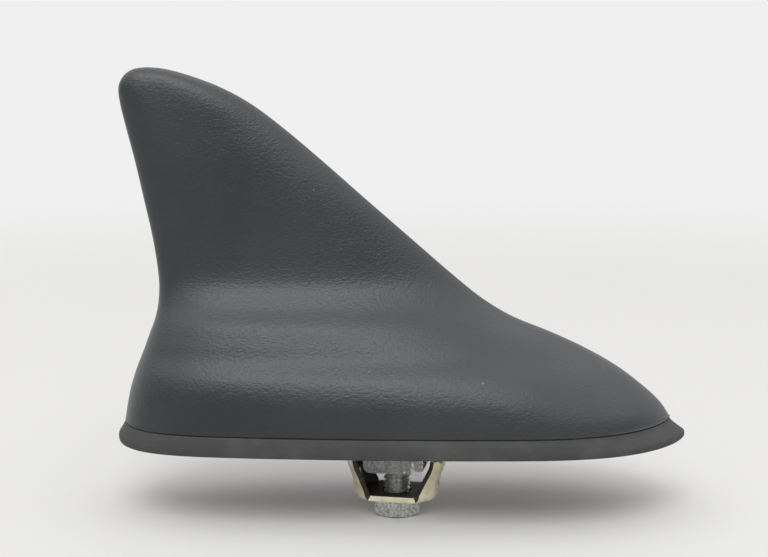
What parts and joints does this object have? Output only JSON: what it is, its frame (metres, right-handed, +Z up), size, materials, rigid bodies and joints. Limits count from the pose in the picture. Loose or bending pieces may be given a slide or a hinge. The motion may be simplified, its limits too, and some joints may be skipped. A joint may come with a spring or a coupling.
{
  "type": "roof antenna",
  "caption": "Car roof antenna: grained fin on a domed foot with a rubber seal, held through a square roof hole by a claw clamp and bolt, with a coax socket beside it.",
  "frame": {"origin": "centre of the roof hole along the car, on the antenna's plane of symmetry, in the plane of the roof", "axes": "+X towards the nose of the car, +Y to the car's left, +Z up out of the roof"},
  "size_m": [0.1267, 0.0444, 0.0987],
  "materials": {
    "grained_shell": "fine moulded grain, dull sheen",
    "seal_rubber": "matt moulded rubber",
    "foam_cord": "closed-cell cord",
    "die_cast": "die-cast, unpolished",
    "screw_steel": "bright zinc",
    "bolt_steel": "clear zinc, dull",
    "bracket_steel": "pale yellow passivated zinc",
    "tinned_sheet": "tinned",
    "board_laminate": "solder mask, satin",
    "ceramic": "fired, unglazed",
    "copper": "bare copper",
    "contact_brass": "bright",
    "ferrite": "sintered",
    "chip_black": "moulded",
    "holder_white": "moulded",
    "coded_violet": "moulded, semi-gloss",
    "plated_contact": "plated",
    "insulator_white": "moulded",
    "clear_plastic": "clear, slightly scuffed"
  },
  "bodies": {
    "root": {"cover": "grained_shell", "roof_seal": "seal_rubber", "base_plate": "die_cast", "cover_seal": "foam_cord", "cover_screws": "screw_steel", "main_board": "board_laminate", "board_screws": "screw_steel", "shield_can": "tinned_sheet", "patch_antenna": "ceramic", "patch_pin": "contact_brass", "fin_board": "board_laminate", "fin_board_holder": "holder_white", "top_load": "copper", "phone_radiator": "contact_brass", "radio_coil": "copper", "coil_core": "ferrite", "board_contacts": "contact_brass", "chips": "chip_black", "connector_housing": "coded_violet", "connector_shell": "plated_contact", "connector_insulator": "insulator_white", "connector_pin": "contact_brass", "clamp_bracket": "bracket_steel", "clamp_bolt": "bolt_steel", "retainer_clip": "clear_plastic"}
  },
  "joints": []
}
